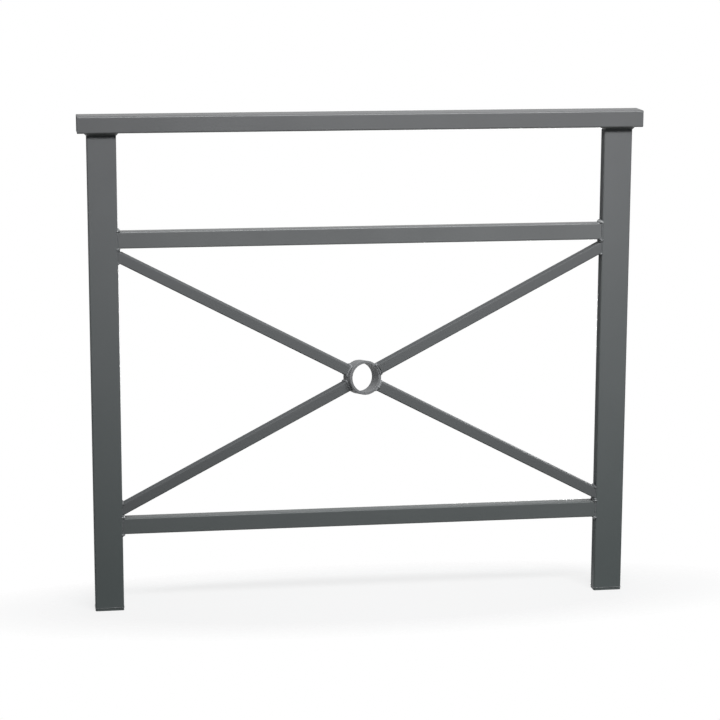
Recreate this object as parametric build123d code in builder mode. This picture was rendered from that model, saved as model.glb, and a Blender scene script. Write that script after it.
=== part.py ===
# Street barrier: a welded steel frame of two posts, a flat handrail, two rails
# and four braces that meet at a ring. Millimetres, +Z up, +X along the run,
# front towards -Y, origin at the middle of the left post's foot.
import os
from math import acos, atan2, cos, hypot, radians, sin, sqrt, tan

from build123d import *

# Overall sizes
OVERALL_HEIGHT = 1044.0
POST_SPACING = 1078.0
HANDRAIL_OVERHANG = 19.0
UPPER_RAIL_TOP = 806.0
LOWER_RAIL_TOP = 200.0

# Box sections: width across the front, depth front to back, wall, outer corner
POST_WIDTH = 60.0
POST_DEPTH = 30.0
POST_WALL = 2.5
POST_CORNER = 3.5
HANDRAIL_DEPTH = 60.0
HANDRAIL_HEIGHT = 35.0
HANDRAIL_WALL = 2.5
HANDRAIL_CORNER = 3.5
RAIL_HEIGHT = 35.0
RAIL_DEPTH = 26.0
RAIL_WALL = 2.0
RAIL_CORNER = 3.0
BRACE_WIDTH = 22.0
BRACE_DEPTH = 25.0
BRACE_WALL = 2.0
BRACE_CORNER = 2.5

# Plates that close the tube ends
FOOT_PLATE = 6.0
FOOT_SEAM = 0.8
HANDRAIL_CAP = 3.0
CAP_EDGE_ROUND = 1.2

# The ring at the crossing, welded in turned about the vertical and leaning back a little
RING_DIAMETER = 72.0
RING_WALL = 6.0
RING_DEPTH = 36.0
RING_TURN = 15.5
RING_LEAN = 7.0
RING_EDGE = 0.8

# Fits and weld beads
COPE_GAP = 0.2
POST_TOP_BEAD = 6.0
RAIL_BEAD = 4.5
BRACE_BEAD = 4.0
CORNER_NOTCH = 5.0
NOTCH_BEAD = 7.0
RING_BEAD = 5.0

# Levels and places worked out from the sizes above
handrail_bottom = OVERALL_HEIGHT - HANDRAIL_HEIGHT
post_top = handrail_bottom
clear_bay = POST_SPACING - POST_WIDTH
bay_centre = POST_SPACING / 2
half_bay = clear_bay / 2
upper_rail_bottom = UPPER_RAIL_TOP - RAIL_HEIGHT
ring_height = (upper_rail_bottom + LOWER_RAIL_TOP) / 2
half_rail_gap = (upper_rail_bottom - LOWER_RAIL_TOP) / 2
post_places = {"left": 0.0, "right": POST_SPACING}

# Slope of a brace whose outer corner meets the post a notch away from the rail
brace_rise = half_rail_gap - CORNER_NOTCH
brace_slope = acos(BRACE_WIDTH / 2 / hypot(half_bay, brace_rise)) - atan2(half_bay, brace_rise)
brace_reach = hypot(half_bay, half_rail_gap)

ring_radius = RING_DIAMETER / 2
ring_turn = radians(RING_TURN)
ring_lean = radians(RING_LEAN)
ring_plane = Plane(
    origin=(bay_centre, 0, ring_height),
    x_dir=(cos(ring_turn), sin(ring_turn), 0),
    z_dir=(sin(ring_turn) * cos(ring_lean), -cos(ring_turn) * cos(ring_lean), sin(ring_lean)),
)

# Flat part of each tube face that a bead can lie on
post_flat = POST_DEPTH - 2 * POST_CORNER
rail_flat = min(post_flat, RAIL_DEPTH - 2 * RAIL_CORNER)
brace_flat = min(rail_flat, BRACE_DEPTH - 2 * BRACE_CORNER)
rim_flat = RING_DEPTH - 2 * RING_EDGE

os.makedirs("parts", exist_ok=True)


def save(piece, name):
    """Label a finished piece and write it as its own STEP file."""
    piece.label = name
    export_step(piece, f"parts/{name}.step")


def across_run(x, z):
    """Plane that looks along the run, centred at the given length and height."""
    return Plane(origin=(x, 0, z), x_dir=(0, 1, 0), z_dir=(1, 0, 0))


def tube_section(width, depth, corner, wall):
    """Draw a rounded box section with its bore, into the open sketch."""
    RectangleRounded(width, depth, corner)
    RectangleRounded(width - 2 * wall, depth - 2 * wall, corner - wall, mode=Mode.SUBTRACT)


# Posts: box tube standing on a flush foot plate
for side, post_x in post_places.items():
    with BuildPart() as post_foot:
        with BuildSketch(Plane((post_x, 0, 0))):
            RectangleRounded(POST_WIDTH, POST_DEPTH, POST_CORNER)
        extrude(amount=FOOT_PLATE)
        chamfer(post_foot.faces().sort_by(Axis.Z)[-1].edges(), length=FOOT_SEAM)
    save(post_foot.part, f"{side}_post_foot")

    with BuildPart() as post:
        with BuildSketch(Plane((post_x, 0, FOOT_PLATE))):
            tube_section(POST_WIDTH, POST_DEPTH, POST_CORNER, POST_WALL)
        extrude(amount=post_top - FOOT_PLATE)
    save(post.part, f"{side}_post")

    # Fillet bead all round the post, under the handrail
    with BuildPart() as post_top_weld:
        with BuildSketch(Plane((post_x, 0, post_top - POST_TOP_BEAD))):
            RectangleRounded(POST_WIDTH, POST_DEPTH, POST_CORNER)
        extrude(amount=POST_TOP_BEAD, taper=-45)
        with BuildSketch(Plane((post_x, 0, post_top - POST_TOP_BEAD))):
            RectangleRounded(POST_WIDTH, POST_DEPTH, POST_CORNER)
        extrude(amount=POST_TOP_BEAD, mode=Mode.SUBTRACT)
    save(post_top_weld.part, f"{side}_post_top_weld")

# Handrail: a stouter tube laid flat over both posts, its ends closed by caps
cap_outer_ends = {
    "left": -POST_WIDTH / 2 - HANDRAIL_OVERHANG,
    "right": POST_SPACING + POST_WIDTH / 2 + HANDRAIL_OVERHANG,
}
handrail_middle = handrail_bottom + HANDRAIL_HEIGHT / 2
handrail_start = cap_outer_ends["left"] + HANDRAIL_CAP
handrail_length = cap_outer_ends["right"] - HANDRAIL_CAP - handrail_start
with BuildPart() as handrail:
    with BuildSketch(across_run(handrail_start, handrail_middle)):
        tube_section(HANDRAIL_DEPTH, HANDRAIL_HEIGHT, HANDRAIL_CORNER, HANDRAIL_WALL)
    extrude(amount=handrail_length)
save(handrail.part, "handrail")

for side, outer_end in cap_outer_ends.items():
    inward = 1 if side == "left" else -1
    with BuildPart() as handrail_cap:
        with BuildSketch(across_run(outer_end, handrail_middle)):
            RectangleRounded(HANDRAIL_DEPTH, HANDRAIL_HEIGHT, HANDRAIL_CORNER)
        extrude(amount=inward * HANDRAIL_CAP)
        outer_face = handrail_cap.faces().sort_by(Axis.X)[0 if side == "left" else -1]
        fillet(outer_face.edges(), radius=CAP_EDGE_ROUND)
    save(handrail_cap.part, f"handrail_{side}_cap")


def straight_bead(corners, half_length):
    """Bead with the given corners as seen from the front, laid across the run."""
    with BuildPart() as bead:
        with BuildSketch(Plane.XZ):
            with BuildLine():
                Polyline(*corners, close=True)
            make_face()
        extrude(amount=half_length, both=True)
    return bead.part


# Rails: square-cut tubes between the posts, with a bead along each end's outer side
for rail, rail_top in {"upper": UPPER_RAIL_TOP, "lower": LOWER_RAIL_TOP}.items():
    rail_bottom = rail_top - RAIL_HEIGHT
    with BuildPart() as rail_tube:
        with BuildSketch(across_run(POST_WIDTH / 2, rail_top - RAIL_HEIGHT / 2)):
            tube_section(RAIL_DEPTH, RAIL_HEIGHT, RAIL_CORNER, RAIL_WALL)
        extrude(amount=clear_bay)
    save(rail_tube.part, f"{rail}_rail")

    rail_edge, up = (rail_top, 1) if rail == "upper" else (rail_bottom, -1)
    for side, inward in {"left": 1, "right": -1}.items():
        corner = Vector(bay_centre - inward * half_bay, rail_edge)
        rail_weld = straight_bead(
            [corner, corner + Vector(0, up * RAIL_BEAD), corner + Vector(inward * RAIL_BEAD, 0)],
            rail_flat / 2,
        )
        save(rail_weld, f"{rail}_rail_{side}_weld")

# Ring: a slice of round tube that carries the crossing
with BuildPart() as centre_ring:
    with BuildSketch(ring_plane):
        Circle(ring_radius)
        Circle(ring_radius - RING_WALL, mode=Mode.SUBTRACT)
    extrude(amount=RING_DEPTH / 2, both=True)
    chamfer(centre_ring.edges().filter_by(GeomType.CIRCLE), length=RING_EDGE)
save(centre_ring.part, "centre_ring")

# Braces: tubes mitred to the posts and coped round the ring
for level, up in {"upper": 1, "lower": -1}.items():
    for side, outward in {"left": -1, "right": 1}.items():
        name = f"{level}_{side}_brace"
        post_face = bay_centre + outward * half_bay
        along = Vector(outward * cos(brace_slope), 0, up * sin(brace_slope))
        brace_plane = Plane(origin=ring_plane.origin, x_dir=(0, 1, 0), z_dir=along)
        with BuildPart() as brace:
            with BuildSketch(brace_plane):
                tube_section(BRACE_DEPTH, BRACE_WIDTH, BRACE_CORNER, BRACE_WALL)
            extrude(amount=brace_reach)
            split(bisect_by=Plane(origin=(post_face, 0, 0), z_dir=(outward, 0, 0)), keep=Keep.BOTTOM)
            with Locations(ring_plane):
                Cylinder(ring_radius + COPE_GAP, 2 * RING_DIAMETER, mode=Mode.SUBTRACT)
        save(brace.part, name)

        # One bead fills the notch between the mitred end and the rail, one lies on the brace's other side
        half_height = BRACE_WIDTH / 2 / cos(brace_slope)
        end_height = ring_height + up * half_bay * tan(brace_slope)
        inward_along = Vector(-along.X, -along.Z)
        rail_corner = Vector(post_face, ring_height + up * half_rail_gap)
        outer_corner = Vector(post_face, end_height + up * half_height)
        inner_corner = Vector(post_face, end_height - up * half_height)
        notch_bead = straight_bead(
            [rail_corner, outer_corner, outer_corner + inward_along * NOTCH_BEAD,
             rail_corner + Vector(-outward * NOTCH_BEAD * cos(brace_slope), 0)],
            brace_flat / 2,
        )
        inner_bead = straight_bead(
            [inner_corner, inner_corner + Vector(0, -up * BRACE_BEAD),
             inner_corner + inward_along * BRACE_BEAD],
            brace_flat / 2,
        )
        with BuildPart() as brace_post_weld:
            add(notch_bead)
            add(inner_bead)
        save(brace_post_weld.part, f"{name}_post_weld")

        # Beads above and below the coped end, laid along the ring's rim and cut to its curve
        with BuildPart() as brace_ring_weld:
            for face in (1, -1):
                across = Vector(-along.Z, 0, along.X) * face
                rim_run = (ring_plane.z_dir - across * ring_plane.z_dir.dot(across)).normalized()
                from_rim = along - rim_run * along.dot(rim_run)
                face_origin = ring_plane.origin + across * BRACE_WIDTH / 2
                bead_plane = Plane(origin=face_origin, x_dir=from_rim, z_dir=from_rim.cross(across))
                toe = sqrt(ring_radius**2 - (BRACE_WIDTH / 2) ** 2)
                with BuildSketch(bead_plane):
                    with BuildLine():
                        Polyline((0, 0), (toe + RING_BEAD, 0), (toe, RING_BEAD), (0, RING_BEAD), close=True)
                    make_face()
                extrude(amount=brace_flat / 2, both=True)
            with Locations(ring_plane):
                Box(2 * RING_DIAMETER, 2 * RING_DIAMETER, rim_flat, mode=Mode.INTERSECT)
            with Locations(ring_plane):
                Cylinder(ring_radius, 2 * RING_DIAMETER, mode=Mode.SUBTRACT)
            split(bisect_by=Plane(origin=ring_plane.origin, z_dir=(0, 0, up)), keep=Keep.TOP)
        save(brace_ring_weld.part, f"{name}_ring_weld")
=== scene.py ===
from math import acos, atan2, cos, hypot, pi, radians, sin, sqrt

import bpy
from mathutils import Matrix, Vector


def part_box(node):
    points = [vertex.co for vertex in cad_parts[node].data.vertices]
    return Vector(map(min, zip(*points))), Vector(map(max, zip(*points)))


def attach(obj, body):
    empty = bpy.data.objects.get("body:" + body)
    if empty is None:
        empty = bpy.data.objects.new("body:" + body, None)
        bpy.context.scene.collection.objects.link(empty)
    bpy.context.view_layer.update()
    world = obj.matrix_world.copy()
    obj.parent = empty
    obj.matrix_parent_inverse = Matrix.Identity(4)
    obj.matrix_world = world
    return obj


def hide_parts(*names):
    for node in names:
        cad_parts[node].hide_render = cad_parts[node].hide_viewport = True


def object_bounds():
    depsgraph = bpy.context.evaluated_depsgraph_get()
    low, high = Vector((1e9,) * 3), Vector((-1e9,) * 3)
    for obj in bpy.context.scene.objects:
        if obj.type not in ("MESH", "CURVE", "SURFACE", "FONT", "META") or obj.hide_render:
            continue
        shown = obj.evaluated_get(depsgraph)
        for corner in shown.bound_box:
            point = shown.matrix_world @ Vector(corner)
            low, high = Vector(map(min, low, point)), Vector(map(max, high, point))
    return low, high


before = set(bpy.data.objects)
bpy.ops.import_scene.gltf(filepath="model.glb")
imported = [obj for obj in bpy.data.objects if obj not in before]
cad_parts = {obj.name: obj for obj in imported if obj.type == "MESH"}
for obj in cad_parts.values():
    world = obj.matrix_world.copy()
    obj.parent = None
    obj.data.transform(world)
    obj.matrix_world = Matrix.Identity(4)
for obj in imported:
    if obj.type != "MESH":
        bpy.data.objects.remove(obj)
cad_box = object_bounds()

# Posts
# Two lengths of rectangular steel tube, closed at the foot by a flush plate and painted
# a satin cool grey. The paint has a fine orange peel, drifts a little in tone along the
# tube, gets painted shade that darkens and greens it lower down, and keeps the steel's rolled lines.
PAINT_GREY = (0.150, 0.154, 0.158, 1.0)
PAINT_ROUGHNESS = 0.46
PEEL_DEPTH = 0.00006
LINE_DEPTH = 0.00005
DUST_GREY = (0.23, 0.23, 0.215, 1.0)
DUST_DULLING = 0.35
# Painted shade towards the ground: the green-grey the paint turns to at the foot, and the height where it
# begins
GROUND_SHADE_GREY = (0.122, 0.143, 0.140, 1.0)
GROUND_SHADE_TOP = 1.0
# Painted shade: the near-black grey that undersides, brace tops and the post tops under the handrail are
# painted towards
PAINTED_SHADE_GREY = (0.045, 0.052, 0.050, 1.0)


def add_node(tree, kind, **settings):
    """Add a node and set its own properties."""
    node = tree.nodes.new(kind)
    for key, value in settings.items():
        setattr(node, key, value)
    return node


def plug(tree, node, values):
    """Fill a node's inputs by name or index: a socket is linked, anything else is set."""
    for key, value in values.items():
        socket = node.inputs[key]
        if isinstance(value, bpy.types.NodeSocket):
            tree.links.new(value, socket)
        else:
            socket.default_value = value
    return node


def new_group(name, inputs, outputs, kind="ShaderNodeTree"):
    """Make an empty node group with named sockets and return its tree, inlet and outlet."""
    tree = bpy.data.node_groups.new(name, kind)
    for label, socket_type, default in inputs:
        socket = tree.interface.new_socket(label, in_out="INPUT", socket_type=socket_type)
        if default is not None:
            socket.default_value = default
    for label, socket_type in outputs:
        tree.interface.new_socket(label, in_out="OUTPUT", socket_type=socket_type)
    inlet = tree.nodes.new("NodeGroupInput").outputs
    outlet = tree.nodes.new("NodeGroupOutput")
    return tree, inlet, outlet


def math_node(tree, operation, first, second=0.0, clamp=False):
    """One arithmetic step, as a socket."""
    node = add_node(tree, "ShaderNodeMath", operation=operation, use_clamp=clamp)
    plug(tree, node, {0: first, 1: second})
    return node.outputs[0]


def noise_node(tree, where, scale, detail=2.0, roughness=0.5):
    """Soft noise between 0 and 1, as a socket."""
    node = add_node(tree, "ShaderNodeTexNoise")
    plug(tree, node, {"Vector": where, "Scale": scale, "Detail": detail, "Roughness": roughness})
    return node.outputs["Fac"]


def range_node(tree, value, low, high, to_low=0.0, to_high=1.0):
    """Stretch part of a value's range to a new range, clamped, as a socket."""
    node = add_node(tree, "ShaderNodeMapRange")
    plug(tree, node, {
        "Value": value, "From Min": low, "From Max": high, "To Min": to_low, "To Max": to_high,
    })
    return node.outputs["Result"]


def mix_colour(tree, amount, first, second):
    """Blend two colours, as a socket."""
    node = add_node(tree, "ShaderNodeMix", data_type="RGBA")
    plug(tree, node, {"Factor": amount, 6: first, 7: second})
    return node.outputs[2]


def split_node(tree, vector):
    """The three parts of a vector, as sockets."""
    return plug(tree, add_node(tree, "ShaderNodeSeparateXYZ"), {0: vector}).outputs


# Orange peel: the fine dimpling that sprayed and baked paint keeps
PEEL_DIMPLES = 420.0
DIMPLE_SHARE = 0.6
SWELL_RATE = 0.12
peel_group, inlet, outlet = new_group(
    "orange_peel",
    [("Coordinates", "NodeSocketVector", None), ("Dimples per Metre", "NodeSocketFloat", PEEL_DIMPLES)],
    [("Height", "NodeSocketFloat")],
)
dimples = noise_node(peel_group, inlet["Coordinates"], inlet["Dimples per Metre"], 2.0, 0.45)
swells = math_node(peel_group, "MULTIPLY", inlet["Dimples per Metre"], SWELL_RATE)
swell = noise_node(peel_group, inlet["Coordinates"], swells)
height = math_node(peel_group, "ADD", math_node(peel_group, "MULTIPLY", dimples, DIMPLE_SHARE), swell)
plug(peel_group, outlet, {"Height": height})

# Tone drift: slow changes of tone and gloss where the coat is thicker or thinner
DRIFT_PATCHES = 7.0
DRIFT_REACH = 0.09
drift_group, inlet, outlet = new_group(
    "tone_drift",
    [
        ("Coordinates", "NodeSocketVector", None),
        ("Paint", "NodeSocketColor", PAINT_GREY),
        ("Patches per Metre", "NodeSocketFloat", DRIFT_PATCHES),
        ("Drift", "NodeSocketFloat", 0.5),
    ],
    [("Color", "NodeSocketColor"), ("Gloss Drift", "NodeSocketFloat")],
)
patches = noise_node(drift_group, inlet["Coordinates"], inlet["Patches per Metre"], 4.0, 0.6)
lift = range_node(drift_group, patches, 0.25, 0.75, -DRIFT_REACH, DRIFT_REACH)
lift = math_node(drift_group, "MULTIPLY", lift, inlet["Drift"])
toned = add_node(drift_group, "ShaderNodeHueSaturation")
plug(drift_group, toned, {"Value": math_node(drift_group, "ADD", lift, 1.0), "Color": inlet["Paint"]})
plug(drift_group, outlet, {"Color": toned.outputs["Color"], "Gloss Drift": lift})

# Rolled lines: faint lengthwise lines that the steel strip brings from the mill
LINE_STRETCH = 0.006
LINES_PER_METRE = 260.0
lines_group, inlet, outlet = new_group(
    "rolled_lines",
    [
        ("Coordinates", "NodeSocketVector", None),
        ("Stretch", "NodeSocketFloat", LINE_STRETCH),
        ("Lines per Metre", "NodeSocketFloat", LINES_PER_METRE),
    ],
    [("Line", "NodeSocketFloat")],
)
along_only = add_node(lines_group, "ShaderNodeCombineXYZ")
plug(lines_group, along_only, {"X": inlet["Stretch"], "Y": 1.0, "Z": 1.0})
squeezed = add_node(lines_group, "ShaderNodeVectorMath", operation="MULTIPLY")
plug(lines_group, squeezed, {0: inlet["Coordinates"], 1: along_only.outputs[0]})
line = noise_node(lines_group, squeezed.outputs[0], inlet["Lines per Metre"], 3.0, 0.6)
plug(lines_group, outlet, {"Line": line})

# Street dust: pale specks all over and a film on upward faces, with masks of tops and undersides that the
# paints also use for painted shade
SPECKS_PER_METRE = 900.0
SPECK_EDGES = (0.66, 0.80)
SPECK_SHARE = 0.5
FILM_PATCHES = 38.0
FILM_EDGES = (0.45, 0.85)
TOPSIDE_SLOPES = (0.3, 0.95)
UNDERSIDE_SLOPES = (-0.10, -0.65)
dust_group, inlet, outlet = new_group(
    "street_dust",
    [
        ("Coordinates", "NodeSocketVector", None),
        ("Specks per Metre", "NodeSocketFloat", SPECKS_PER_METRE),
        ("Amount", "NodeSocketFloat", 0.2),
    ],
    [("Mask", "NodeSocketFloat"), ("Topside", "NodeSocketFloat"), ("Underside", "NodeSocketFloat")],
)
specks = noise_node(dust_group, inlet["Coordinates"], inlet["Specks per Metre"], 1.0)
specks = range_node(dust_group, specks, *SPECK_EDGES)
film_and_ground_shade = noise_node(dust_group, inlet["Coordinates"], FILM_PATCHES, 5.0, 0.65)
film_and_ground_shade = range_node(dust_group, film_and_ground_shade, *FILM_EDGES)
facing = add_node(dust_group, "ShaderNodeNewGeometry").outputs["Normal"]
upward = split_node(dust_group, facing)["Z"]
settled = range_node(dust_group, upward, *TOPSIDE_SLOPES)
film_and_ground_shade = math_node(dust_group, "MULTIPLY", film_and_ground_shade, settled)
either = math_node(dust_group, "MAXIMUM", math_node(dust_group, "MULTIPLY", specks, SPECK_SHARE), film_and_ground_shade)
plug(dust_group, outlet, {
    "Mask": math_node(dust_group, "MULTIPLY", either, inlet["Amount"], clamp=True),
    "Topside": settled,
    "Underside": range_node(dust_group, upward, *UNDERSIDE_SLOPES),
})


def paint_material(
    name, turn, painted_lightness=1.0, roughness=PAINT_ROUGHNESS, line_depth=LINE_DEPTH, dust=0.25,
    patches=DRIFT_PATCHES, sheen=0.5, film_and_ground_shade=0.0, underside_shade=0.85, topside_shade=0.0,
):
    """Satin grey paint on a tube that runs along X once turned about Y by the given angle."""
    material = bpy.data.materials.new(name)
    material.use_nodes = True
    tree = material.node_tree
    shader = tree.nodes["Principled BSDF"]
    place = add_node(tree, "ShaderNodeTexCoord").outputs["Object"]
    along = add_node(tree, "ShaderNodeMapping")
    plug(tree, along, {"Vector": place, "Rotation": (0.0, turn, 0.0)})
    drift = add_node(tree, "ShaderNodeGroup", node_tree=drift_group)
    # The paint colour is scaled lighter or darker per part, as painted light or shade
    paint = [channel * painted_lightness for channel in PAINT_GREY[:3]] + [1.0]
    plug(tree, drift, {"Coordinates": place, "Paint": paint, "Patches per Metre": patches})
    peel = add_node(tree, "ShaderNodeGroup", node_tree=peel_group)
    plug(tree, peel, {"Coordinates": place})
    lines = add_node(tree, "ShaderNodeGroup", node_tree=lines_group)
    plug(tree, lines, {"Coordinates": along.outputs[0]})
    dust_and_shade_masks = add_node(tree, "ShaderNodeGroup", node_tree=dust_group)
    plug(tree, dust_and_shade_masks, {"Coordinates": place, "Amount": dust})

    # The coat, then painted shade that darkens and greens it towards the ground, the dust, and painted
    # shade on undersides and upward faces
    # Painted shade: the paint is darkened and greened from about a metre up down to the ground
    ground_shaded = range_node(tree, split_node(tree, place)["Z"], GROUND_SHADE_TOP, 0.0, 0.0, film_and_ground_shade)
    colour = mix_colour(tree, ground_shaded, drift.outputs["Color"], GROUND_SHADE_GREY)
    colour = mix_colour(tree, dust_and_shade_masks.outputs["Mask"], colour, DUST_GREY)
    # Painted shade: undersides, and upward faces where asked, are darkened towards a near-black grey
    painted_shade = math_node(tree, "MULTIPLY", dust_and_shade_masks.outputs["Underside"], underside_shade)
    painted_shade = math_node(tree, "ADD", painted_shade, math_node(tree, "MULTIPLY", dust_and_shade_masks.outputs["Topside"], topside_shade))
    colour = mix_colour(tree, painted_shade, colour, PAINTED_SHADE_GREY)

    gloss = math_node(tree, "ADD", drift.outputs["Gloss Drift"], roughness)
    gloss = math_node(tree, "ADD", gloss, math_node(tree, "MULTIPLY", dust_and_shade_masks.outputs["Mask"], DUST_DULLING))
    depth = math_node(
        tree, "ADD", math_node(tree, "MULTIPLY", peel.outputs["Height"], PEEL_DEPTH),
        math_node(tree, "MULTIPLY", lines.outputs["Line"], line_depth),
    )
    bump = add_node(tree, "ShaderNodeBump")
    plug(tree, bump, {"Height": depth, "Distance": 1.0, "Strength": 1.0})
    plug(tree, shader, {"Base Color": colour, "Roughness": gloss, "Normal": bump.outputs["Normal"]})
    plug(tree, shader, {"Specular IOR Level": sheen})
    return material


def dress(node_name, material):
    """Give a carried-over piece its finish."""
    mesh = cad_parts[node_name].data
    mesh.materials.clear()
    mesh.materials.append(material)


# The posts' paint is painted a little lighter, as painted light
post_paint = paint_material("post_paint", pi / 2, painted_lightness=1.1, sheen=0.15, film_and_ground_shade=0.8)
for side in ("left", "right"):
    dress(f"{side}_post", post_paint)
    dress(f"{side}_post_foot", post_paint)

# Handrail
# A stouter tube laid flat across both post tops, with a plate welded and ground
# flush over each open end. Hands keep it cleaner than the rest.
# The handrail's paint is painted darker, as painted shade on its front
handrail_paint = paint_material(
    "handrail_paint", 0.0, painted_lightness=0.80, line_depth=0.00011, dust=0.12, patches=5.0, sheen=0.7
)
dress("handrail", handrail_paint)
for side in ("left", "right"):
    dress(f"handrail_{side}_cap", post_paint)

# Rails
# Two lighter tubes cut square and welded between the posts, one under the
# handrail and one clear of the ground.
for rail, sheen in {"upper": 0.9, "lower": 0.5}.items():
    # The rails' paint is painted darker, as painted shade
    dress(f"{rail}_rail", paint_material(f"{rail}_rail_paint", 0.0, painted_lightness=0.78, sheen=sheen, film_and_ground_shade=0.6))

# Braces and ring
# Four small tubes run from the corners to a slice of round tube in the middle.
# Each is mitred to its post and hollowed to sit on the ring.
BRACE_WIDTH = 0.022
BRACE_DEPTH = 0.025
ring_low, ring_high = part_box("centre_ring")
ring_centre = (ring_low + ring_high) / 2
half_bay = (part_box("right_post")[0].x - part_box("left_post")[1].x) / 2

# A brace's upper edge meets the post at brace_rise, and its middle line points at the ring's centre
brace_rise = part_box("upper_right_brace")[1].z - ring_centre.z
brace_slope = acos(BRACE_WIDTH / 2 / hypot(half_bay, brace_rise)) - atan2(half_bay, brace_rise)
for lie, rising, node_names in (
    ("rising", 1, ("upper_right_brace", "lower_left_brace")),
    ("falling", -1, ("upper_left_brace", "lower_right_brace")),
):
    # The braces' upward faces get a little painted shade
    brace_paint = paint_material(
        f"brace_paint_{lie}", rising * brace_slope, roughness=0.8, dust=0.1, sheen=0.15, film_and_ground_shade=0.2, topside_shade=0.1
    )
    for node_name in node_names:
        dress(node_name, brace_paint)
# The ring's paint is painted lighter, as painted light on walls the lamps leave dark
ring_paint = paint_material(
    "ring_paint", pi / 2, painted_lightness=1.3, roughness=0.54, dust=0.15, patches=20.0, underside_shade=0.0
)
dress("centre_ring", ring_paint)

# Weld beads
# Every joint is closed by a hand-laid fillet weld: overlapping ripples of metal, a
# little uneven, painted over with the frame. On top of the rails the paint is rubbed
# through to the steel in patches.
BEAD_PAINT = (0.135, 0.142, 0.147, 1.0)
BEAD_ROUGHNESS = 0.32
BEAD_PATCHES = 90.0
BEAD_DRIFT = 0.8
BEAD_DIMPLES = 900.0
BEAD_PEEL_DEPTH = 0.00018
BARE_STEEL = (0.55, 0.56, 0.56, 1.0)
BARE_DULLING = 0.2
BARE_SLOPES = (0.15, 0.55)
WEAR_PATCHES = 150.0
WEAR_EDGES = (0.42, 0.60)
WEAR = 0.75
FLANK_FULLNESS = 0.3


def bead_material(name, paint, worn_above=None):
    """Paint over a bead, and above a height, if one is given, rubbed through on its upper side."""
    material = bpy.data.materials.new(name)
    material.use_nodes = True
    tree = material.node_tree
    shader = tree.nodes["Principled BSDF"]
    place = add_node(tree, "ShaderNodeTexCoord").outputs["Object"]
    drift = add_node(tree, "ShaderNodeGroup", node_tree=drift_group)
    plug(tree, drift, {
        "Coordinates": place, "Paint": paint, "Patches per Metre": BEAD_PATCHES, "Drift": BEAD_DRIFT,
    })
    peel = add_node(tree, "ShaderNodeGroup", node_tree=peel_group)
    plug(tree, peel, {"Coordinates": place, "Dimples per Metre": BEAD_DIMPLES})
    bump = add_node(tree, "ShaderNodeBump")
    depth = math_node(tree, "MULTIPLY", peel.outputs["Height"], BEAD_PEEL_DEPTH)
    plug(tree, bump, {"Height": depth, "Distance": 1.0})
    colour = drift.outputs["Color"]
    gloss = math_node(tree, "ADD", drift.outputs["Gloss Drift"], BEAD_ROUGHNESS)
    if worn_above is not None:
        facing = add_node(tree, "ShaderNodeNewGeometry").outputs["Normal"]
        topside = range_node(tree, split_node(tree, facing)["Z"], *BARE_SLOPES)
        high = math_node(tree, "GREATER_THAN", split_node(tree, place)["Z"], worn_above)
        rubbed = range_node(tree, noise_node(tree, place, WEAR_PATCHES), *WEAR_EDGES, 0.0, WEAR)
        bare = math_node(tree, "MULTIPLY", math_node(tree, "MULTIPLY", high, topside), rubbed)
        colour = mix_colour(tree, bare, colour, BARE_STEEL)
        gloss = math_node(tree, "ADD", gloss, math_node(tree, "MULTIPLY", bare, BARE_DULLING))
        plug(tree, shader, {"Metallic": bare})
    plug(tree, shader, {"Base Color": colour, "Roughness": gloss, "Normal": bump.outputs["Normal"]})
    return material


bead_paint = bead_material("bead_paint", BEAD_PAINT)
# Painted shadow: the beads under the handrail are painted near black, where the handrail's overhang shades
# the post tops
painted_shadow_bead_paint = bead_material("painted_shadow_bead_paint", PAINTED_SHADE_GREY)
# The ring's beads are painted lighter still, as painted light over their shaded sides
ring_bead_paint = paint_material("ring_bead_paint", pi / 2, painted_lightness=1.7, dust=0.15, patches=20.0, underside_shade=0.0)


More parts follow.
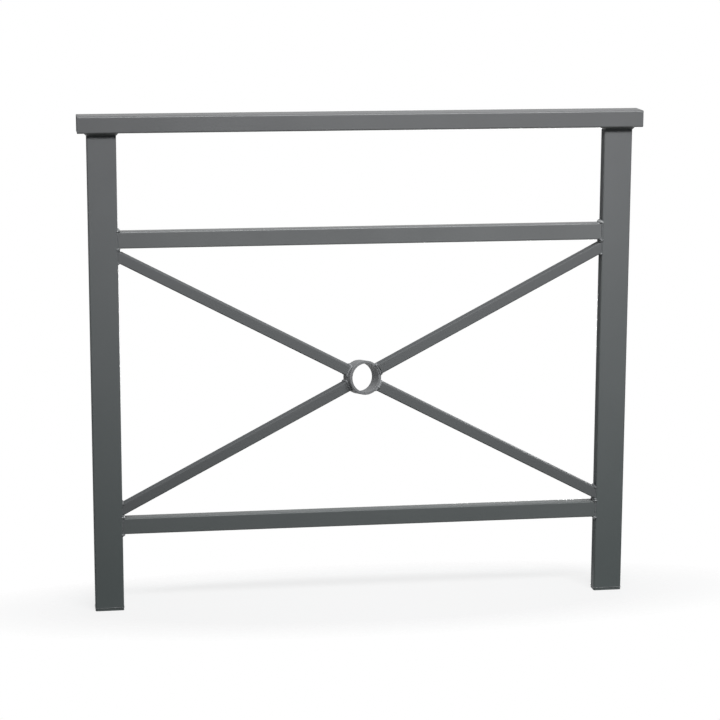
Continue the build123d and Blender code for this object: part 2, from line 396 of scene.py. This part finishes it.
def weld_tree():
    """Geometry nodes that lay a rippled bead along a curve, as full as the curve's radius says."""
    ripple_points = 6.0
    wobbles_per_metre = 160.0
    profile_points = 16
    tree, inlet, outlet = new_group(
        "weld_bead",
        [
            ("Seam", "NodeSocketGeometry", None),
            ("Bead Leg", "NodeSocketFloat", 0.005),
            ("Ripple Pitch", "NodeSocketFloat", 0.0022),
            ("Ripple Share", "NodeSocketFloat", 0.16),
            ("Wander", "NodeSocketFloat", 0.18),
            ("Hollow", "NodeSocketFloat", 1.6),
            ("Seed", "NodeSocketFloat", 0.0),
            ("Finish", "NodeSocketMaterial", None),
        ],
        [("Bead", "NodeSocketGeometry")],
        "GeometryNodeTree",
    )
    step = math_node(tree, "DIVIDE", inlet["Ripple Pitch"], ripple_points)
    seam = add_node(tree, "GeometryNodeResampleCurve", mode="LENGTH")
    plug(tree, seam, {"Curve": inlet["Seam"], "Length": step})

    # Each ripple is a low arch, and the whole bead is a little thicker here and thinner there
    distance = add_node(tree, "GeometryNodeSplineParameter").outputs["Length"]
    phase = math_node(tree, "FRACT", math_node(tree, "DIVIDE", distance, inlet["Ripple Pitch"]))
    hump = math_node(tree, "MULTIPLY", phase, math_node(tree, "SUBTRACT", 1.0, phase))
    hump = math_node(tree, "MULTIPLY", math_node(tree, "MULTIPLY", hump, 4.0), inlet["Ripple Share"])
    wobble = add_node(tree, "ShaderNodeTexNoise", noise_dimensions="4D")
    plug(tree, wobble, {"W": inlet["Seed"], "Scale": wobbles_per_metre, "Detail": 2.0})
    uneven = math_node(tree, "SUBTRACT", wobble.outputs[0], 0.5)
    uneven = math_node(tree, "MULTIPLY", uneven, inlet["Wander"])
    share = math_node(tree, "ADD", math_node(tree, "SUBTRACT", 1.0, inlet["Ripple Share"]), hump)
    share = math_node(tree, "ADD", share, math_node(tree, "MULTIPLY", uneven, 2.0))
    fullness = add_node(tree, "GeometryNodeInputRadius").outputs["Radius"]
    leg = math_node(tree, "MULTIPLY", inlet["Bead Leg"], fullness)
    size = math_node(tree, "MULTIPLY", share, leg)

    # The bead's cross-section: a circle pinched towards its axes, so that the corner is hollowed
    round_profile = add_node(tree, "GeometryNodeCurvePrimitiveCircle")
    plug(tree, round_profile, {"Resolution": profile_points, "Radius": 1.0})
    spot = split_node(tree, add_node(tree, "GeometryNodeInputPosition").outputs[0])
    pinched = add_node(tree, "ShaderNodeCombineXYZ")
    for axis in "XY":
        reach = math_node(tree, "POWER", math_node(tree, "ABSOLUTE", spot[axis]), inlet["Hollow"])
        signed = math_node(tree, "MULTIPLY", reach, math_node(tree, "SIGN", spot[axis]))
        plug(tree, pinched, {axis: signed})
    profile = add_node(tree, "GeometryNodeSetPosition")
    plug(tree, profile, {"Geometry": round_profile.outputs["Curve"], "Position": pinched.outputs[0]})

    laid = add_node(tree, "GeometryNodeCurveToMesh")
    plug(tree, laid, {"Curve": seam.outputs["Curve"], "Profile Curve": profile.outputs[0]})
    plug(tree, laid, {"Scale": size, "Fill Caps": True})
    smooth = add_node(tree, "GeometryNodeSetShadeSmooth")
    plug(tree, smooth, {"Geometry": laid.outputs["Mesh"]})
    real = add_node(tree, "GeometryNodeRealizeInstances")
    plug(tree, real, {"Geometry": smooth.outputs["Geometry"]})
    finished = add_node(tree, "GeometryNodeSetMaterial")
    plug(tree, finished, {"Geometry": real.outputs["Geometry"], "Material": inlet["Finish"]})
    plug(tree, outlet, {"Bead": finished.outputs["Geometry"]})
    return tree


bead_tree = weld_tree()


def lay_bead(name, points, fullness, seed, finish, sizes, weld_node=None):
    """Lay a bead along a closed seam, as full as given at each point, in place of a weld node if named."""
    curve = bpy.data.curves.new(f"{name}_seam", "CURVE")
    curve.dimensions = "3D"
    spline = curve.splines.new("POLY")
    spline.points.add(len(points) - 1)
    spline.use_cyclic_u = True
    for spot, point, full in zip(spline.points, points, fullness):
        spot.co = (*point, 1.0)
        spot.radius = full
    seam = bpy.data.objects.new(f"{name}_seam", curve)
    bpy.context.scene.collection.objects.link(seam)
    laying = seam.modifiers.new("lay", "NODES")
    laying.node_group = bead_tree
    settings = {"Seed": float(seed), "Finish": finish, **sizes}
    for item in bead_tree.interface.items_tree:
        if item.in_out == "INPUT" and item.name in settings:
            laying[item.identifier] = settings[item.name]
    drawn = seam.evaluated_get(bpy.context.evaluated_depsgraph_get())
    mesh = bpy.data.meshes.new_from_object(drawn)
    bpy.data.objects.remove(seam)
    piece = bpy.data.objects.new(name, mesh)
    bpy.context.scene.collection.objects.link(piece)
    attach(piece, "root")
    if weld_node:
        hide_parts(weld_node)


def rounded_outline(half_u, half_v, corner, steps=5):
    """Points round a rectangle with round corners, in its own plane."""
    points = []
    for turn, (su, sv) in enumerate(((1, 1), (-1, 1), (-1, -1), (1, -1))):
        for step in range(steps + 1):
            angle = pi / 2 * (turn + step / steps)
            u = su * (half_u - corner) + corner * cos(angle)
            v = sv * (half_v - corner) + corner * sin(angle)
            points.append((u, v))
    return points


def flank_fullness(outline, half_v, corner):
    """Fullness round a rail's or brace's end: full above and below, a thin pass up each flank."""
    return [1.0 if abs(v) > half_v - corner / 2 else FLANK_FULLNESS for u, v in outline]


# Round each post, under the handrail and at the seam of the foot plate
POST_CORNER = 0.0035
POST_TOP_BEAD = {"Bead Leg": 0.0062, "Hollow": 1.9}
FOOT_BEAD = {"Bead Leg": 0.0009, "Hollow": 1.0}
FOOT_SEEDS = 5
handrail_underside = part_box("handrail")[0].z
for seed, side in enumerate(("left", "right")):
    low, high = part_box(f"{side}_post")
    middle = (low + high) / 2
    half = (high - low) / 2
    outline = rounded_outline(half.x, half.y, POST_CORNER)
    even = [1.0] * len(outline)
    top_seam = [(middle.x + u, middle.y + v, handrail_underside) for u, v in outline]
    # The bead under the handrail gets the near-black painted shadow finish
    lay_bead(f"{side}_post_top_bead", top_seam, even, seed, painted_shadow_bead_paint, POST_TOP_BEAD,
             f"{side}_post_top_weld")
    foot_seam = [(middle.x + u, middle.y + v, low.z) for u, v in outline]
    lay_bead(f"{side}_post_foot_bead", foot_seam, even, seed + FOOT_SEEDS, bead_paint, FOOT_BEAD)

# Round the ends of each rail
RAIL_CORNER = 0.003
RAIL_BEAD = {"Bead Leg": 0.0054, "Hollow": 1.1}
seed = 10
for rail in ("upper", "lower"):
    low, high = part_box(f"{rail}_rail")
    middle = (low + high) / 2
    half = (high - low) / 2
    outline = rounded_outline(half.y, half.z, RAIL_CORNER)
    fullness = flank_fullness(outline, half.z, RAIL_CORNER)
    worn_bead_paint = bead_material(f"{rail}_rail_bead_paint", BEAD_PAINT, worn_above=middle.z)
    for side, face_x in {"left": low.x, "right": high.x}.items():
        seed += 1
        seam = [(face_x, middle.y + u, middle.z + v) for u, v in outline]
        lay_bead(f"{rail}_rail_{side}_bead", seam, fullness, seed, worn_bead_paint, RAIL_BEAD,
                 f"{rail}_rail_{side}_weld")

# Round both ends of each brace
BRACE_CORNER = 0.0025
BRACE_BEAD = {"Bead Leg": 0.0044, "Hollow": 1.2}
RING_TURN = radians(15.5)
RING_LEAN = radians(7.0)
RING_RADIUS = 0.036
RING_DEPTH = 0.036
RING_BEAD = {"Bead Leg": 0.0026, "Hollow": 1.0, "Ripple Share": 0.08}
RING_SEEDS = 20
RIM_FULLNESS = 1.5
COPE_CORNER_STEPS = 8
COPE_PARTS = 12
ring_axis = Vector((sin(RING_TURN) * cos(RING_LEAN), -cos(RING_TURN) * cos(RING_LEAN), sin(RING_LEAN)))
brace_outline = rounded_outline(BRACE_DEPTH / 2, BRACE_WIDTH / 2, BRACE_CORNER)
cope_outline = rounded_outline(BRACE_DEPTH / 2, BRACE_WIDTH / 2, BRACE_CORNER, COPE_CORNER_STEPS)
for level, up in {"upper": 1, "lower": -1}.items():
    for side, outward in {"left": -1, "right": 1}.items():
        seed += 1
        name = f"{level}_{side}_brace"
        along = Vector((outward * cos(brace_slope), 0.0, up * sin(brace_slope)))
        across = Vector((-along.z, 0.0, along.x))

        # Where the mitred end meets the flat of the post
        post_seam = []
        for y, v in brace_outline:
            reach = (outward * half_bay - across.x * v) / along.x
            post_seam.append(ring_centre + along * reach + across * v + Vector((0.0, y, 0.0)))
        fullness = flank_fullness(brace_outline, BRACE_WIDTH / 2, BRACE_CORNER)
        lay_bead(f"{name}_post_bead", post_seam, fullness, seed, bead_paint, BRACE_BEAD,
                 f"{name}_post_weld")

        # Where the coped end sits on the ring, and along the rim's edge where the brace reaches past it
        ring_seam = []
        fullness = []
        flat_along = along - ring_axis * along.dot(ring_axis)
        for first, second in zip(cope_outline, cope_outline[1:] + cope_outline[:1]):
            for part in range(COPE_PARTS):
                y = first[0] + (second[0] - first[0]) * part / COPE_PARTS
                v = first[1] + (second[1] - first[1]) * part / COPE_PARTS
                spot = across * v + Vector((0.0, y, 0.0))
                flat_spot = spot - ring_axis * spot.dot(ring_axis)

                # The quadratic for how far along the brace this line meets the ring's outside
                a = flat_along.dot(flat_along)
                b = flat_along.dot(flat_spot)
                c = flat_spot.dot(flat_spot) - RING_RADIUS ** 2
                reach = (-b + sqrt(b * b - a * c)) / a
                point = spot + along * reach
                depth = point.dot(ring_axis)
                past_rim = depth - max(-RING_DEPTH / 2, min(RING_DEPTH / 2, depth))
                ring_seam.append(ring_centre + point - ring_axis * past_rim)
                fullness.append(RIM_FULLNESS if past_rim else 1.0)
        lay_bead(f"{name}_ring_bead", ring_seam, fullness, seed + RING_SEEDS, ring_bead_paint, RING_BEAD,
                 f"{name}_ring_weld")

# Floor
# A pale plain floor that keeps the frame's soft shadow and fades out to the white
# background round it.
FLOOR_REACH = (0.95, 0.27, 1.0)
FLOOR_FADE = (0.60, 0.98)
FLOOR_GREY = (0.10, 0.115, 0.11, 1.0)
FLOOR_PALE = (0.80, 0.80, 0.80, 1.0)
FLOOR_WHITENESS = 0.80
WHITE = (1.0, 1.0, 1.0, 1.0)
floor_middle = Vector(((cad_box[0].x + cad_box[1].x) / 2, 0.0, cad_box[0].z))
corners = [
    (floor_middle.x + u * FLOOR_REACH[0], v * FLOOR_REACH[1], floor_middle.z)
    for u, v in ((-1, -1), (1, -1), (1, 1), (-1, 1))
]
floor_mesh = bpy.data.meshes.new("floor")
floor_mesh.from_pydata(corners, [], [(0, 1, 2, 3)])
floor = bpy.data.objects.new("floor", floor_mesh)
bpy.context.scene.collection.objects.link(floor)
floor_paint = bpy.data.materials.new("pale_floor")
floor_paint.use_nodes = True
tree = floor_paint.node_tree
tree.nodes.clear()
light_path = add_node(tree, "ShaderNodeLightPath").outputs
seen = math_node(tree, "MAXIMUM", light_path["Is Camera Ray"], light_path["Is Glossy Ray"])
seen = math_node(tree, "MAXIMUM", seen, light_path["Is Transmission Ray"])
tone = mix_colour(tree, seen, FLOOR_GREY, FLOOR_PALE)
matt = plug(tree, add_node(tree, "ShaderNodeBsdfDiffuse"), {"Color": tone})
white = plug(tree, add_node(tree, "ShaderNodeEmission"), {"Color": WHITE, "Strength": 1.0})
clear = add_node(tree, "ShaderNodeBsdfTransparent")
place = add_node(tree, "ShaderNodeTexCoord").outputs["Object"]
offset = add_node(tree, "ShaderNodeVectorMath", operation="SUBTRACT")
plug(tree, offset, {0: place, 1: floor_middle})
shrunk = add_node(tree, "ShaderNodeVectorMath", operation="DIVIDE")
plug(tree, shrunk, {0: offset.outputs[0], 1: FLOOR_REACH})
far = add_node(tree, "ShaderNodeVectorMath", operation="LENGTH")
plug(tree, far, {0: shrunk.outputs[0]})
fade = range_node(tree, far.outputs["Value"], *FLOOR_FADE)
shown = math_node(tree, "MULTIPLY", seen, FLOOR_WHITENESS)
lit = add_node(tree, "ShaderNodeMixShader")
plug(tree, lit, {0: shown, 1: matt.outputs[0], 2: white.outputs[0]})
whole = add_node(tree, "ShaderNodeMixShader")
plug(tree, whole, {0: fade, 1: lit.outputs[0], 2: clear.outputs[0]})
plug(tree, add_node(tree, "ShaderNodeOutputMaterial"), {"Surface": whole.outputs[0]})
floor_mesh.materials.append(floor_paint)

# Light
# Dim light from all round, brighter from above, and three soft lamps: a wide one in front
# that fades down the posts, a small one low at the right, and one low behind for the back.
# The camera sees plain white, and shiny faces see it above, to the left and below.
SKY_STRENGTH = 0.3
SKY_BOTTOM = (0.10, 0.125, 0.12, 1.0)
SKY_TOP = (0.86, 0.90, 0.98, 1.0)
SKY_BETWEEN = {
    0.47: (0.13, 0.155, 0.15, 1.0),
    0.54: (0.25, 0.26, 0.27, 1.0),
    0.72: (0.48, 0.50, 0.53, 1.0),
}
WHITE_ABOVE = (0.02, 0.12)
WHITE_BESIDE = (-0.46, -0.66)
WHITE_BELOW = (-0.28, -0.42)
world = bpy.data.worlds.new("studio")
bpy.context.scene.world = world
world.use_nodes = True
tree = world.node_tree
tree.nodes.clear()
direction = split_node(tree, add_node(tree, "ShaderNodeTexCoord").outputs["Generated"])
sky = add_node(tree, "ShaderNodeValToRGB")
sky.color_ramp.elements[0].color = SKY_BOTTOM
sky.color_ramp.elements[1].color = SKY_TOP
for position, colour in SKY_BETWEEN.items():
    sky.color_ramp.elements.new(position).color = colour
plug(tree, sky, {"Fac": range_node(tree, direction["Z"], -1.0, 1.0)})
ambient = add_node(tree, "ShaderNodeBackground")
plug(tree, ambient, {"Color": sky.outputs["Color"], "Strength": SKY_STRENGTH})
white = plug(tree, add_node(tree, "ShaderNodeBackground"), {"Color": WHITE, "Strength": 1.0})
light_path = add_node(tree, "ShaderNodeLightPath").outputs
above = range_node(tree, direction["Z"], *WHITE_ABOVE)
beside = range_node(tree, direction["X"], *WHITE_BESIDE)
below = range_node(tree, direction["Z"], *WHITE_BELOW)
around = math_node(tree, "MAXIMUM", above, math_node(tree, "MAXIMUM", beside, below))
mirrored = math_node(tree, "MULTIPLY", light_path["Is Glossy Ray"], around)
shown = math_node(tree, "MAXIMUM", light_path["Is Camera Ray"], mirrored)
shown = math_node(tree, "MAXIMUM", shown, light_path["Is Transmission Ray"])
either = add_node(tree, "ShaderNodeMixShader")
plug(tree, either, {0: shown, 1: ambient.outputs[0], 2: white.outputs[0]})
plug(tree, add_node(tree, "ShaderNodeOutputWorld"), {"Surface": either.outputs[0]})

LAMP_SPREAD = radians(75.0)
LAMPS = {
    "front_lamp": {
        "at": (0.80, -1.5, 2.3), "towards": (0.58, 0.0, 0.74), "size": (2.0, 0.4), "watts": 12.0,
    },
    "low_lamp": {
        "at": (1.70, -1.5, 0.7), "towards": (1.15, 0.0, 0.12), "size": (0.5, 0.5), "watts": 0.75,
    },
    "back_lamp": {
        "at": (1.50, 2.4, 0.16), "towards": (0.54, 0.0, 0.5), "size": (0.9, 0.2), "watts": 7.0,
    },
}
for name, lamp in LAMPS.items():
    light = bpy.data.lights.new(name, "AREA")
    light.shape = "RECTANGLE"
    light.size, light.size_y = lamp["size"]
    light.energy = lamp["watts"]
    light.spread = LAMP_SPREAD
    holder = bpy.data.objects.new(name, light)
    bpy.context.scene.collection.objects.link(holder)
    aim = Vector(lamp["towards"]) - Vector(lamp["at"])
    holder.rotation_euler = aim.to_track_quat("-Z", "Y").to_euler()
    holder.location = lamp["at"]
    holder.visible_camera = False

# Camera
# Stands to the left of the barrier, above the handrail, and looks down on it
# through a long lens.
CAMERA_PLACE = (-0.19501, -4.77922, 1.50122)
CAMERA_YAW = 0.151391
CAMERA_PITCH = 0.199718
CAMERA_ROLL = 0.003302
FOCAL_PIXELS = 2342.08
IMAGE_PIXELS = 720
SENSOR_WIDTH = 36.0
camera_data = bpy.data.cameras.new("camera")
camera_data.sensor_width = SENSOR_WIDTH
camera_data.lens = FOCAL_PIXELS / IMAGE_PIXELS * SENSOR_WIDTH
camera = bpy.data.objects.new("camera", camera_data)
bpy.context.scene.collection.objects.link(camera)
level_ahead = Vector((sin(CAMERA_YAW), cos(CAMERA_YAW), 0.0))
ahead = level_ahead * cos(CAMERA_PITCH) - Vector((0.0, 0.0, sin(CAMERA_PITCH)))
level_right = Vector((cos(CAMERA_YAW), -sin(CAMERA_YAW), 0.0))
level_up = level_right.cross(ahead)
right = level_right * cos(CAMERA_ROLL) + level_up * sin(CAMERA_ROLL)
up = level_up * cos(CAMERA_ROLL) - level_right * sin(CAMERA_ROLL)
turn = Matrix((right, up, -ahead)).transposed().to_4x4()
camera.matrix_world = Matrix.Translation(CAMERA_PLACE) @ turn
bpy.context.scene.camera = camera
bpy.context.scene.view_settings.view_transform = "Standard"
